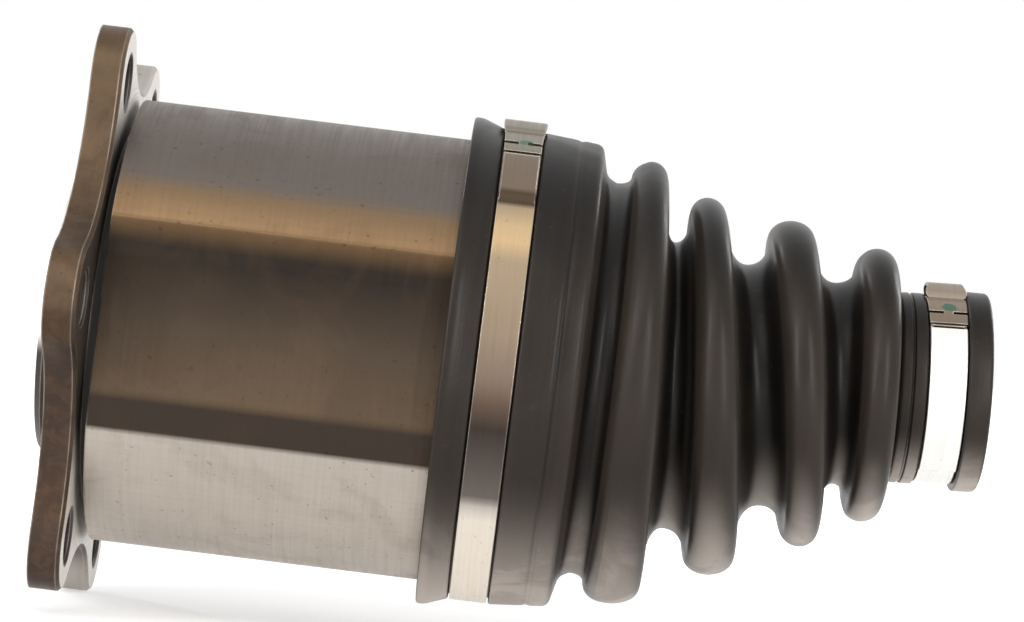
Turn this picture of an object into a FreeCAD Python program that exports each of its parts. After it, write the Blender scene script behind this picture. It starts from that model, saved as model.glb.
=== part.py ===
import FreeCAD, Part
import math
import os

# Inboard end of a drive shaft: a flanged tripod joint with its bellows boot.
# Millimetres. The origin is the centre of the flange's mounting face.
# +X runs along the tulip's axis towards the boot, +Z is up.

# Shaft and its splines, tilted upwards in the joint as it lies at rest
rest_tilt_deg = 3.0
spline_teeth = 24
spline_major_r = 12.3
spline_depth = 1.1
spline_flank_deg = 30.0
spline_clearance = 0.05
spline_run_out = 3.0
spline_entry_chamfer = 0.5
neck_over_root = 0.4
bar_over_splines = 0.2
bar_neck_length = 14.0
bar_neck_taper = 4.0
shaft_inner_overhang = 4.0
shaft_end_chamfer = 1.0
boot_seat_rise = 0.7
boot_seat_groove_depth = 0.8
boot_seat_groove_width = 3.6
centre_hole_r = 2.5
centre_hole_half_deg = 30.0
circlip_thickness = 1.5
circlip_height = 2.6
circlip_depth = 0.9
circlip_side_gap = 0.1
circlip_gap_deg = 40.0
circlip_lug_r = 1.7
circlip_lug_hole_r = 0.7
circlip_lug_sink = 0.5
circlip_lug_shift = 1.0
groove_clearance = 0.05

# Spider, its trunnions and the rollers on them
spider_x = 56.0
hub_wall = 5.0
hub_half_length = 11.0
hub_chamfer = 1.5
hub_roller_gap = 2.7
boss_extra_r = 4.0
trunnion_r = 9.0
trunnion_end_length = 1.3
trunnion_end_chamfer = 0.8
trunnion_roof_gap = 2.9
roller_r = 17.0
roller_width = 12.0
roller_chamfer = 0.7
roller_side_gap = 0.1
roller_track_clearance = 1.35
needle_r = 1.6
needle_length = 11.0
needle_clearance = 0.02
needle_end_gap = 0.25
washer_thickness = 1.0
washer_overlap = 1.4
washer_bore_gap = 0.05
snap_ring_thickness = 1.2
snap_ring_height = 1.6
snap_ring_depth = 0.8
snap_ring_gap_deg = 50.0

# Tulip, the outer race behind the flange
body_end_x = 90.0
body_end_chamfer = 1.0
track_count = 3
track_floor_x = 20.0
track_roof_wall = 4.7
waist_depth = 3.8
waist_flat_half_width = 12.8
waist_half_width = 19.8
cavity_hub_gap = 4.7
cavity_bowl_depth = 5.0
mouth_flare_length = 22.0
mouth_flare_rise = 8.0
boot_groove_depth = 1.0
boot_groove_width = 4.0
relief_width = 1.8
relief_depth = 6.3

# Flange, with the spigot on its front and the cap inside that
flange_thickness = 6.0
flange_lobe_r = 10.4
flange_notch_rise = 1.7
flange_back_chamfer = 0.7
flange_clock_deg = 4.5
bolt_count = 6
bolt_circle_r = 50.0
bolt_hole_r = 5.1
bolt_hole_chamfer = 0.5
cap_bore_step = 2.0
spigot_wall = 8.0
spigot_height = 4.5
spigot_round = 1.2
cap_sheet = 1.2
cap_rim_length = 5.0
cap_setback = 1.0
cap_dish_depth = 1.8
cap_fit = 0.02

# Crimped clamps, one on each end of the boot
band_thickness = 0.9
band_gap = 0.25
large_clamp_width = 7.2
small_clamp_width = 7.2
clamp_side_gap = 0.3
large_ear_height = 2.1
small_ear_height = 3.1
ear_extra_width = 0.9
ear_flare_height = 1.4
ear_ahead = 2.5
ear_behind = 9.0
hook_length = 6.5
tail_gap = 0.7
tail_length = 11.5
slot_setback = 3.0
slot_height = 1.0
slot_length = 2.6

# Bellows boot. Its folds are (distance behind the shoulder, radius), and a crest's third value is its half width
boot_wall = 2.2
boot_seat_gap = 0.3
boot_overlap = 18.1
boot_large_wall = 1.85
boot_small_wall = 3.85
boot_lip_length = 6.1
boot_lip_stand = 1.5
boot_lip_fall = 1.3
boot_edge_chamfer = 0.6
shoulder_overhang = 7.4
shoulder_stand = 0.1
shoulder_fall = 1.1
shoulder_extra_wall = 2.5
first_valley = (3.5, 38.4)
fold_crests = ((10.8, 43.4, 4.4), (26.0, 36.9, 4.0), (42.8, 31.9, 3.8), (57.3, 26.8, 3.5))
fold_valleys = ((18.3, 28.0), (34.7, 23.6), (50.4, 19.7))
last_fold_gap = 0.3
crest_round = 3.2
crest_steps = 4
fold_inner_shift = 1.2
valley_half_width = 1.7
bend_start = 8.6
bend_end = 54.6
collar_stand = 0.5
collar_length = 5.6
collar_root_drop = 1.2
collar_root_length = 1.0
boot_mouth_lip_length = 4.7
shaft_end_setback = 2.5

# Radii that follow, from the splines outwards to the tulip and its boot
spline_minor_r = spline_major_r - spline_depth
circlip_groove_r = spline_minor_r - circlip_depth
bar_neck_r = spline_minor_r + neck_over_root
bar_r = spline_major_r + bar_over_splines
boot_seat_r = bar_r + boot_seat_rise
hub_r = spline_major_r + hub_wall
track_pitch_r = hub_r + hub_roller_gap + roller_width / 2.0
roller_inner_face = track_pitch_r - roller_width / 2.0
roller_outer_face = track_pitch_r + roller_width / 2.0
needle_pitch_r = trunnion_r + needle_clearance + needle_r
roller_bore_r = needle_pitch_r + needle_r + needle_clearance
track_r = roller_r + roller_track_clearance
boss_height = roller_inner_face - roller_side_gap
boss_r = trunnion_r + boss_extra_r
washer_base = roller_outer_face + roller_side_gap
snap_ring_base = washer_base + washer_thickness + roller_side_gap
trunnion_end = snap_ring_base + snap_ring_thickness + trunnion_end_length
roof_r = trunnion_end + trunnion_roof_gap
body_r = roof_r + track_roof_wall
waist_flat_distance = body_r - waist_depth
cavity_r = hub_r + cavity_hub_gap
mouth_flare_r = cavity_r + mouth_flare_rise
relief_root_r = body_r - relief_depth
flange_notch_bottom_r = body_r + flange_notch_rise
cap_bore_r = cavity_r - cap_bore_step
spigot_r = cap_bore_r + spigot_wall
large_groove_r = body_r + boot_large_wall
large_band_r = large_groove_r + band_gap + band_thickness
boot_lip_r = large_band_r + boot_lip_stand
boot_edge_r = boot_lip_r - boot_edge_chamfer
shoulder_r = large_band_r + shoulder_stand
shoulder_end_r = shoulder_r - shoulder_fall
small_groove_r = boot_seat_r + boot_small_wall
small_band_r = small_groove_r + band_gap + band_thickness
collar_r = small_band_r + collar_stand
boot_mouth_lip_r = small_band_r + boot_lip_stand

# Places along X that follow, and places along the tilted shaft counted from the spider's centre
body_start_x = flange_thickness + relief_width
boot_lip_x = body_end_x - boot_overlap
large_clamp_start = boot_lip_x + boot_lip_length + clamp_side_gap
large_groove_end = large_clamp_start + large_clamp_width + clamp_side_gap
shoulder_end_x = body_end_x + shoulder_overhang
last_crest, last_crest_r, last_crest_half = fold_crests[-1]
folds_end_x = shoulder_end_x + last_crest + last_crest_half + last_fold_gap
circlip_offset = hub_half_length + circlip_side_gap
shaft_inner_end = -(hub_half_length + shaft_inner_overhang)
collar_start = (folds_end_x - spider_x) / math.cos(math.radians(rest_tilt_deg))
small_clamp_start = collar_start + collar_length + clamp_side_gap
small_groove_end = small_clamp_start + small_clamp_width + clamp_side_gap
boot_mouth_end = small_groove_end + boot_mouth_lip_length
shaft_outer_end = boot_mouth_end - shaft_end_setback

axis_x = FreeCAD.Vector(1, 0, 0)
axis_y = FreeCAD.Vector(0, 1, 0)
origin = FreeCAD.Vector(0, 0, 0)
spider_centre = FreeCAD.Vector(spider_x, 0, 0)


def export(shape, name):
    """Write one sub-part under its own name."""
    shape.exportStep("parts/" + name + ".step")
    print(name, len(shape.Solids), "solids", round(shape.Volume / 1000.0, 2), "cm3")


def polygon_solid(points, direction):
    """Extrude a closed outline of points."""
    wire = Part.makePolygon(list(points) + [points[0]])
    return Part.Face(wire).extrude(direction)


def revolve_x(points):
    """Turn an outline of (x, radius) points about the X axis."""
    corners = [FreeCAD.Vector(x, r, 0) for x, r in points]
    wire = Part.makePolygon(corners + [corners[0]])
    return Part.Face(wire).revolve(origin, axis_x, 360)


def revolve_y(points):
    """Turn an outline of (radius, height) points about the Y axis."""
    corners = [FreeCAD.Vector(r, y, 0) for r, y in points]
    wire = Part.makePolygon(corners + [corners[0]])
    return Part.Face(wire).revolve(origin, axis_y, 360)


def cylinder_x(radius, start, end):
    """A round bar along X."""
    return Part.makeCylinder(radius, end - start, FreeCAD.Vector(start, 0, 0), axis_x)


def polar(radius, degrees, x=0.0):
    """A point at a radius and an angle from +Y towards +Z, at a place along X."""
    angle = math.radians(degrees)
    return FreeCAD.Vector(x, radius * math.cos(angle), radius * math.sin(angle))


def turned(shape, degrees, axis=axis_x, centre=origin):
    """A copy turned about an axis."""
    copy = shape.copy()
    copy.rotate(centre, axis, degrees)
    return copy


def on_shaft(shape):
    """Carry a shape from the spider's own frame to its tilted place in the joint."""
    copy = turned(shape, -rest_tilt_deg, axis_y)
    copy.translate(spider_centre)
    return copy


def flange_outline():
    """Six round lobes about the bolt holes, joined by hollow arcs that run tangent into them."""
    pitch = 360.0 / bolt_count
    along = bolt_circle_r * math.cos(math.radians(pitch / 2.0))
    rise = 2.0 * (flange_notch_bottom_r - along - flange_lobe_r)
    notch_r = (flange_notch_bottom_r * (2.0 * along - flange_notch_bottom_r) + flange_lobe_r ** 2
               - bolt_circle_r ** 2) / rise
    edges = []
    for index in range(bolt_count):
        middle = 180.0 - flange_clock_deg + index * pitch
        lobe = polar(bolt_circle_r, middle)
        before = polar(flange_notch_bottom_r + notch_r, middle - pitch / 2.0) - lobe
        after = polar(flange_notch_bottom_r + notch_r, middle + pitch / 2.0) - lobe
        start = lobe + before.normalize() * flange_lobe_r
        end = lobe + after.normalize() * flange_lobe_r
        edges.append(Part.Arc(start, polar(bolt_circle_r + flange_lobe_r, middle), end).toShape())
        next_start = turned(Part.Vertex(start), pitch).Point
        notch_bottom = polar(flange_notch_bottom_r, middle + pitch / 2.0)
        edges.append(Part.Arc(end, notch_bottom, next_start).toShape())
    return Part.Face(Part.Wire(edges))


def flange():
    """The bolting flange: a lobed plate with a chamfered back edge and a hole in each lobe."""
    plate = flange_outline().extrude(axis_x * flange_thickness)
    rim = [edge for edge in plate.Edges if edge.BoundBox.XMin > flange_thickness - 0.01]
    plate = plate.makeChamfer(flange_back_chamfer, rim)
    for index in range(bolt_count):
        centre = polar(bolt_circle_r, 180.0 - flange_clock_deg + index * 360.0 / bolt_count)
        plate = plate.cut(Part.makeCylinder(bolt_hole_r, flange_thickness, centre, axis_x))
        mouth_r = bolt_hole_r + bolt_hole_chamfer
        start = centre + axis_x * (flange_thickness - bolt_hole_chamfer)
        plate = plate.cut(Part.makeCone(bolt_hole_r, mouth_r, bolt_hole_chamfer, start, axis_x))
    return plate


def tulip_section(offset, start, end):
    """The tulip's outer form: a round bar with three flats between the tracks, each with two bevels."""
    drop = math.sqrt(body_r ** 2 - waist_half_width ** 2)
    bevel = math.atan2(waist_flat_distance - drop, waist_half_width - waist_flat_half_width)
    bevel_distance = waist_flat_half_width * math.sin(bevel) + waist_flat_distance * math.cos(bevel)
    flat = waist_flat_distance + offset
    slope = bevel_distance + offset
    radius = body_r + offset
    flat_half = (slope - flat * math.cos(bevel)) / math.sin(bevel)
    corner_deg = math.degrees(math.atan2(flat_half, flat))
    corner_r = math.hypot(flat_half, flat)
    edge_deg = math.degrees(bevel + math.acos(slope / radius))
    pitch = 360.0 / track_count
    edges = []
    for index in range(track_count):
        waist = 180.0 + index * pitch
        points = [polar(radius, waist - edge_deg, start), polar(corner_r, waist - corner_deg, start)]
        points += [polar(corner_r, waist + corner_deg, start), polar(radius, waist + edge_deg, start)]
        for first, second in zip(points[:-1], points[1:]):
            edges.append(Part.makeLine(first, second))
        middle = polar(radius, waist + pitch / 2.0, start)
        next_edge = polar(radius, waist + pitch - edge_deg, start)
        edges.append(Part.Arc(points[-1], middle, next_edge).toShape())
    return Part.Face(Part.Wire(edges)).extrude(axis_x * (end - start))


def track_cavity():
    """The hollow of the tulip: a round middle and three round-sided tracks under one roof."""
    depth = body_end_x - track_floor_x
    hollow = cylinder_x(cavity_r, track_floor_x, body_end_x)
    for index in range(track_count):
        centre = polar(track_pitch_r, index * 360.0 / track_count, track_floor_x)
        hollow = hollow.fuse(Part.makeCylinder(track_r, depth, centre, axis_x))
    hollow = hollow.common(cylinder_x(roof_r, track_floor_x, body_end_x)).removeSplitter()
    flare_start = FreeCAD.Vector(body_end_x - mouth_flare_length, 0, 0)
    flare = Part.makeCone(cavity_r, mouth_flare_r, mouth_flare_length, flare_start, axis_x)
    bowl_points = [(track_floor_x - cavity_bowl_depth, 0), (track_floor_x - cavity_bowl_depth, cap_bore_r)]
    bowl_points += [(track_floor_x, cavity_r), (track_floor_x, 0)]
    return hollow.fuse([flare, revolve_x(bowl_points)])


def tulip_housing():
    """One forging: flange, spigot, relief groove and tulip."""
    body = tulip_section(0.0, body_start_x, body_end_x)
    end_cut_r = body_r - body_end_chamfer
    end_points = [(body_end_x - body_end_chamfer, body_r), (body_end_x, end_cut_r)]
    end_points += [(body_end_x, body_r + 1.0), (body_end_x - body_end_chamfer, body_r + 1.0)]
    body = body.cut(revolve_x(end_points))
    groove_middle = large_clamp_start + large_clamp_width / 2.0
    groove_start = groove_middle - boot_groove_width / 2.0
    groove_points = [(groove_start, body_r - boot_groove_depth)]
    groove_points += [(groove_start + boot_groove_width, body_r - boot_groove_depth)]
    groove_points += [(groove_start + boot_groove_width, body_r + 1.0), (groove_start, body_r + 1.0)]
    body = body.cut(revolve_x(groove_points))
    neck = cylinder_x(relief_root_r, flange_thickness, body_start_x)
    spigot_points = [(0, 0), (0, spigot_r), (spigot_round - spigot_height, spigot_r)]
    spigot_points += [(-spigot_height, spigot_r - spigot_round), (-spigot_height, 0)]
    spigot = revolve_x(spigot_points)
    housing = flange().fuse([neck, body, spigot])
    bore = cylinder_x(cap_bore_r, -spigot_height, track_floor_x - cavity_bowl_depth)
    return housing.cut([track_cavity(), bore]).removeSplitter()


def grease_cap():
    """A pressed cup that closes the bore behind the spigot, dished towards the joint."""
    rim_r = cap_bore_r - cap_fit
    front = cap_setback - spigot_height
    back = front + cap_rim_length
    inner_r = rim_r - cap_sheet
    dish_r = inner_r - 2.0 * cap_sheet
    dish = back + cap_dish_depth
    points = [(front, rim_r), (front, inner_r), (back - cap_sheet, inner_r)]
    points += [(back - cap_sheet, dish_r + cap_sheet), (dish - cap_sheet, dish_r - cap_sheet)]
    points += [(dish - cap_sheet, 0), (dish, 0), (dish, dish_r - cap_sheet)]
    points += [(back, dish_r + cap_sheet), (back, rim_r)]
    return revolve_x(points)


def spline_outline(extra, x):
    """Straight-flanked spline teeth as one closed outline, wider by extra all round."""
    pitch = 2.0 * math.pi / spline_teeth
    middle_r = (spline_major_r + spline_minor_r) / 2.0
    half_tooth = middle_r * pitch / 4.0 + extra
    half_depth = spline_depth / 2.0
    slope = half_depth * math.tan(math.radians(spline_flank_deg))
    tip_r = spline_major_r + extra
    root_r = spline_minor_r + extra
    tip_angle = math.degrees((half_tooth - slope) / tip_r)
    root_angle = math.degrees((half_tooth + slope) / root_r)
    points = []
    for index in range(spline_teeth):
        middle = math.degrees(index * pitch)
        points.append(polar(root_r, middle - root_angle, x))
        points.append(polar(tip_r, middle - tip_angle, x))
        points.append(polar(tip_r, middle + tip_angle, x))
        points.append(polar(root_r, middle + root_angle, x))
    return points


def trunnion():
    """One trunnion along +Y, with its boss, its snap ring groove and its chamfered end."""
    groove_r = trunnion_r - snap_ring_depth
    groove_start = snap_ring_base - groove_clearance
    groove_end = snap_ring_base + snap_ring_thickness + groove_clearance
    chamfer_start = trunnion_end - trunnion_end_chamfer
    points = [(0, 0), (boss_r, 0), (boss_r, boss_height), (trunnion_r, boss_height)]
    points += [(trunnion_r, groove_start), (groove_r, groove_start), (groove_r, groove_end)]
    points += [(trunnion_r, groove_end), (trunnion_r, chamfer_start)]
    points += [(trunnion_r - trunnion_end_chamfer, trunnion_end), (0, trunnion_end)]
    return revolve_y(points)


def spider():
    """Hub with internal splines and three trunnions."""
    face_r = hub_r - hub_chamfer
    shoulder = hub_half_length - hub_chamfer
    points = [(-hub_half_length, 0), (-hub_half_length, face_r), (-shoulder, hub_r)]
    points += [(shoulder, hub_r), (hub_half_length, face_r), (hub_half_length, 0)]
    hub = revolve_x(points)
    pin = trunnion()
    pins = [turned(pin, index * 360.0 / track_count) for index in range(track_count)]
    reach = trunnion_end + hub_r
    slab = cylinder_x(reach, -hub_half_length, hub_half_length)
    pins = [pin_copy.common(slab) for pin_copy in pins]
    body = hub.fuse(pins)
    bore = polygon_solid(spline_outline(spline_clearance, -hub_half_length), axis_x * (2.0 * hub_half_length))
    mouth_r = spline_major_r + spline_clearance + spline_entry_chamfer
    entry_depth = spline_depth + spline_entry_chamfer
    for side in (-1, 1):
        face = FreeCAD.Vector(side * hub_half_length, 0, 0)
        bore = bore.fuse(Part.makeCone(mouth_r, mouth_r - entry_depth, entry_depth, face, axis_x * -side))
    return on_shaft(body.cut(bore))


def ring_with_gap(inner_r, outer_r, thickness, gap_deg, lugs):
    """A sprung ring about the X axis, open at its gap, with or without drilled lugs."""
    ring = cylinder_x(outer_r, 0, thickness).cut(cylinder_x(inner_r, 0, thickness))
    half = gap_deg / 2.0
    reach = 2.0 * outer_r
    wedge_points = [polar(0, 0), polar(reach, 90.0 - half), polar(reach, 90.0 + half)]
    ring = ring.cut(polygon_solid(wedge_points, axis_x * thickness))
    if not lugs:
        return ring
    shift = math.degrees(circlip_lug_shift / outer_r)
    for side in (-1, 1):
        centre = polar(outer_r - circlip_lug_sink, 90.0 + side * (half + shift))
        ring = ring.fuse(Part.makeCylinder(circlip_lug_r, thickness, centre, axis_x))
        ring = ring.cut(Part.makeCylinder(circlip_lug_hole_r, thickness, centre, axis_x))
    return ring.cut(cylinder_x(inner_r, 0, thickness)).removeSplitter()


def circlip(side):
    """The circlip at one face of the hub: side is -1 at the shaft's inner end, 1 at the outer side."""
    inner_r = circlip_groove_r + groove_clearance
    clip = ring_with_gap(inner_r, inner_r + circlip_height, circlip_thickness, circlip_gap_deg, side < 0)
    start = circlip_offset if side > 0 else -circlip_offset - circlip_thickness
    clip.translate(axis_x * start)
    return on_shaft(clip)


def shaft():
    """The bar: splines under the spider, a waisted neck, and the boot's seat at its outer end."""
    spline_end = hub_half_length + circlip_side_gap + circlip_thickness + spline_run_out
    neck_start = spline_end
    neck_end = neck_start + bar_neck_length
    bar_start = neck_end + bar_neck_taper
    seat_start = collar_start - bar_neck_taper
    groove_r = boot_seat_r - boot_seat_groove_depth
    groove_middle = small_clamp_start + small_clamp_width / 2.0
    groove_start = groove_middle - boot_seat_groove_width / 2.0
    groove_end = groove_middle + boot_seat_groove_width / 2.0
    centre_depth = centre_hole_r / math.tan(math.radians(centre_hole_half_deg))
    points = [(neck_start, 0), (neck_start, bar_neck_r), (neck_end, bar_neck_r), (bar_start, bar_r)]
    points += [(seat_start, bar_r), (seat_start + bar_neck_taper / 2.0, boot_seat_r)]
    points += [(groove_start, boot_seat_r), (groove_start, groove_r)]
    points += [(groove_end, groove_r), (groove_end, boot_seat_r)]
    points += [(shaft_outer_end - shaft_end_chamfer, boot_seat_r)]
    points += [(shaft_outer_end, boot_seat_r - shaft_end_chamfer)]
    points += [(shaft_outer_end, centre_hole_r), (shaft_outer_end - centre_depth, 0)]
    bar = revolve_x(points)
    teeth_length = spline_end - shaft_inner_end
    teeth = polygon_solid(spline_outline(0.0, shaft_inner_end), axis_x * teeth_length)
    tip_cut = spline_major_r - shaft_end_chamfer
    envelope_points = [(shaft_inner_end, 0), (shaft_inner_end, tip_cut)]
    envelope_points += [(shaft_inner_end + shaft_end_chamfer, spline_major_r)]
    envelope_points += [(spline_end - shaft_end_chamfer, spline_major_r), (spline_end, bar_neck_r)]
    envelope_points += [(spline_end, 0)]
    teeth = teeth.common(revolve_x(envelope_points))
    width = circlip_thickness + 2.0 * groove_clearance
    for start in (-circlip_offset - circlip_thickness - groove_clearance, circlip_offset - groove_clearance):
        groove = cylinder_x(spline_major_r + 1.0, start, start + width)
        teeth = teeth.cut(groove.cut(cylinder_x(circlip_groove_r, start, start + width)))
    return on_shaft(bar.fuse(teeth))


def roller():
    """A roller about +Y: a barrel outside that fits the track, a plain bore inside."""
    half = roller_width / 2.0
    side_r = math.sqrt(roller_r ** 2 - half ** 2)
    centre = FreeCAD.Vector(0, track_pitch_r, 0)
    low = FreeCAD.Vector(side_r, track_pitch_r - half, 0)
    high = FreeCAD.Vector(side_r, track_pitch_r + half, 0)
    bulge = centre + FreeCAD.Vector(roller_r, 0, 0)
    cut_bore = roller_bore_r + roller_chamfer
    cut_low = track_pitch_r - half + roller_chamfer
    cut_high = track_pitch_r + half - roller_chamfer
    corners = [high, FreeCAD.Vector(cut_bore, track_pitch_r + half, 0)]
    corners += [FreeCAD.Vector(roller_bore_r, cut_high, 0), FreeCAD.Vector(roller_bore_r, cut_low, 0)]
    corners += [FreeCAD.Vector(cut_bore, track_pitch_r - half, 0), low]
    edges = [Part.Arc(low, bulge, high).toShape()]
    for first, second in zip(corners[:-1], corners[1:]):
        edges.append(Part.makeLine(first, second))
    return Part.Face(Part.Wire(edges)).revolve(origin, axis_y, 360)


def needles():
    """The full set of needle rollers round one trunnion, as separate solids."""
    step = math.degrees(2.0 * math.asin((needle_r + needle_clearance / 2.0) / needle_pitch_r))
    count = int(360.0 / step)
    base = boss_height + needle_end_gap
    pins = []
    for index in range(count):
        angle = 2.0 * math.pi * index / count
        foot = FreeCAD.Vector(needle_pitch_r * math.cos(angle), base, needle_pitch_r * math.sin(angle))
        pins.append(Part.makeCylinder(needle_r, needle_length, foot, axis_y))
    return Part.makeCompound(pins)


def retaining_washer():
    """The washer that covers the needles' ends and laps over the roller."""
    inner_r = trunnion_r + washer_bore_gap
    outer_r = roller_bore_r + washer_overlap
    top = washer_base + washer_thickness
    return revolve_y([(inner_r, washer_base), (outer_r, washer_base), (outer_r, top), (inner_r, top)])


def snap_ring():
    """The sprung ring in the trunnion's groove."""
    inner_r = trunnion_r - snap_ring_depth + groove_clearance
    ring = ring_with_gap(inner_r, inner_r + snap_ring_height, snap_ring_thickness, snap_ring_gap_deg, False)
    ring = turned(ring, 90.0, FreeCAD.Vector(0, 0, 1))
    ring.translate(axis_y * snap_ring_base)
    return ring


def bend_share(x):
    """How much of the shaft's tilt the boot has taken up at x, from 0 to 1."""
    share = min(max((x - shoulder_end_x - bend_start) / (bend_end - bend_start), 0.0), 1.0)
    return 3.0 * share ** 2 - 2.0 * share ** 3


def boot_line(x):
    """The height of the boot's middle line at x."""
    return math.tan(math.radians(rest_tilt_deg)) * (x - spider_x) * bend_share(x)


def boot_ring(x, radius):
    """A circle square to the boot's middle line."""
    step = 0.01
    direction = FreeCAD.Vector(2.0 * step, 0, boot_line(x + step) - boot_line(x - step))
    circle = Part.makeCircle(radius, FreeCAD.Vector(x, 0, boot_line(x)), direction.normalize())
    return Part.Wire(circle)


def fold_profile(shift, thinner):
    """(x, radius) along the four folds; shift narrows the crests and thinner lowers all."""
    profile = []
    for (valley, valley_r), (crest, crest_r, crest_half) in zip((first_valley,) + fold_valleys, fold_crests):
        valley_x = shoulder_end_x + valley
        half = valley_half_width + shift
        profile.append((valley_x - half, valley_r - thinner))
        profile.append((valley_x + half, valley_r - thinner))
        for step in range(crest_steps + 1):
            angle = math.pi * step / crest_steps
            x = shoulder_end_x + crest - (crest_half - shift) * math.cos(angle)
            sink = crest_round * (1.0 - math.sin(angle))
            profile.append((x, crest_r - thinner - sink))
    return profile


def boot():
    """The bellows: large end on the tulip, four folds that bend with the shaft, small end on the bar."""
    outer = [(boot_lip_x, boot_edge_r), (boot_lip_x + boot_edge_chamfer, boot_lip_r)]
    outer += [(boot_lip_x + boot_lip_length / 2.0, boot_lip_r)]
    outer += [(boot_lip_x + boot_lip_length, boot_lip_r - boot_lip_fall)]
    outer += [(boot_lip_x + boot_lip_length, large_groove_r)]
    outer += [(large_groove_end, large_groove_r), (large_groove_end, shoulder_r)]
    outer += [(shoulder_end_x, shoulder_end_r), (shoulder_end_x, 0), (boot_lip_x, 0)]
    large_end = revolve_x(outer)
    rings = [boot_ring(shoulder_end_x, shoulder_end_r)]
    rings += [boot_ring(x, r) for x, r in fold_profile(0.0, 0.0)]
    rings.append(boot_ring(folds_end_x, collar_r - collar_root_drop))
    folds = Part.makeLoft(rings, True, True)
    local = [(collar_start, 0), (collar_start, collar_r - collar_root_drop)]
    local += [(collar_start + collar_root_length, collar_r)]
    local += [(collar_start + collar_length, collar_r), (collar_start + collar_length, small_groove_r)]
    local += [(small_groove_end, small_groove_r), (small_groove_end, boot_mouth_lip_r)]
    local += [(boot_mouth_end - boot_edge_chamfer, boot_mouth_lip_r)]
    local += [(boot_mouth_end, boot_mouth_lip_r - boot_edge_chamfer)]
    local += [(boot_mouth_end, 0)]
    small_end = on_shaft(revolve_x(local))
    skin = large_end.fuse([folds, small_end])
    seat_end = body_end_x + boot_seat_gap
    seat = tulip_section(boot_seat_gap, boot_lip_x, seat_end)
    mouth_r = shoulder_end_r - boot_wall - shoulder_extra_wall
    rings = [boot_ring(seat_end, mouth_r), boot_ring(shoulder_end_x - fold_inner_shift, mouth_r)]
    rings += [boot_ring(x, r) for x, r in fold_profile(fold_inner_shift, boot_wall)]
    bore_r = boot_seat_r + boot_seat_gap
    rings.append(boot_ring(folds_end_x - boot_wall, bore_r))
    hollow = Part.makeLoft(rings, True, True)
    bore = on_shaft(cylinder_x(bore_r, collar_start - 2.0 * boot_wall, boot_mouth_end))
    return skin.cut([seat, hollow, bore]).removeSplitter()


def band_piece(inner_r, outer_r, start_deg, end_deg, width):
    """Part of a band about X, between two angles from +Z towards -Y."""
    first = 90.0 + start_deg
    last = 90.0 + end_deg
    middle = (first + last) / 2.0
    outer_arc = Part.Arc(polar(outer_r, first), polar(outer_r, middle), polar(outer_r, last)).toShape()
    inner_arc = Part.Arc(polar(inner_r, last), polar(inner_r, middle), polar(inner_r, first)).toShape()
    sides = [Part.makeLine(polar(outer_r, last), polar(inner_r, last))]
    sides.append(Part.makeLine(polar(inner_r, first), polar(outer_r, first)))
    face = Part.Face(Part.Wire([outer_arc, sides[0], inner_arc, sides[1]]))
    return face.extrude(axis_x * width)


def band_clamp(outer_r, width, ear_height):
    """A crimped clamp: the band, the flared ear at its top, and the lapped end with its two slots."""
    inner_r = outer_r - band_thickness
    per_mm = math.degrees(1.0 / outer_r)
    lap = outer_r + band_thickness
    ear_start = -ear_ahead * per_mm
    ear_end = ear_behind * per_mm
    hook_end = ear_end + hook_length * per_mm
    tail_start = hook_end + tail_gap * per_mm
    tail_end = tail_start + tail_length * per_mm
    band = cylinder_x(outer_r, 0, width).cut(cylinder_x(inner_r, 0, width))
    ear_top = outer_r + ear_height
    flare_width = width + ear_extra_width
    ear = band_piece(outer_r - band_thickness / 2.0, ear_top - ear_flare_height, ear_start, ear_end, width)
    flare = band_piece(ear_top - ear_flare_height, ear_top, ear_start, ear_end, flare_width)
    flare.translate(axis_x * (-ear_extra_width / 2.0))
    top_edges = [edge for edge in flare.Edges if is_flare_top(edge, ear_top, flare_width)]
    flare = flare.makeFillet(band_thickness, top_edges)
    hook = band_piece(outer_r - band_thickness / 2.0, lap, ear_end - per_mm, hook_end, width)
    tail = band_piece(outer_r - band_thickness / 2.0, lap, tail_start, tail_end, width)
    clamp = band.fuse([ear, flare, hook, tail])
    slot_middle = ear_end + slot_setback * per_mm
    for start in (0.0, width - slot_length):
        half = slot_height / 2.0 * per_mm
        slot = band_piece(outer_r, lap + 1.0, slot_middle - half, slot_middle + half, slot_length)
        slot.translate(axis_x * start)
        clamp = clamp.cut(slot)
    return clamp.removeSplitter()


def is_flare_top(edge, ear_top, flare_width):
    """True for the two edges along X at the top of the ear."""
    box = edge.BoundBox
    radius = math.hypot(box.Center.y, box.Center.z)
    return box.XLength > flare_width - 0.01 and radius > ear_top - ear_flare_height / 2.0


def large_clamp():
    """The clamp round the boot's large end."""
    clamp = band_clamp(large_band_r, large_clamp_width, large_ear_height)
    clamp.translate(axis_x * large_clamp_start)
    return clamp


def small_clamp():
    """The clamp round the boot's small end, on the tilted shaft."""
    clamp = band_clamp(small_band_r, small_clamp_width, small_ear_height)
    clamp.translate(axis_x * small_clamp_start)
    return on_shaft(clamp)


os.makedirs("parts", exist_ok=True)
export(tulip_housing(), "tulip_housing")
export(grease_cap(), "grease_cap")
export(spider(), "spider")
export(shaft(), "shaft")
export(circlip(-1), "outer_circlip")
export(circlip(1), "inner_circlip")
for number in range(1, track_count + 1):
    track_angle = (number - 1) * 360.0 / track_count
    export(on_shaft(turned(roller(), track_angle)), "roller_" + str(number))
    export(on_shaft(turned(needles(), track_angle)), "needles_" + str(number))
    export(on_shaft(turned(retaining_washer(), track_angle)), "retaining_washer_" + str(number))
    export(on_shaft(turned(snap_ring(), track_angle)), "snap_ring_" + str(number))
export(boot(), "boot")
export(large_clamp(), "large_clamp")
export(small_clamp(), "small_clamp")
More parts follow.
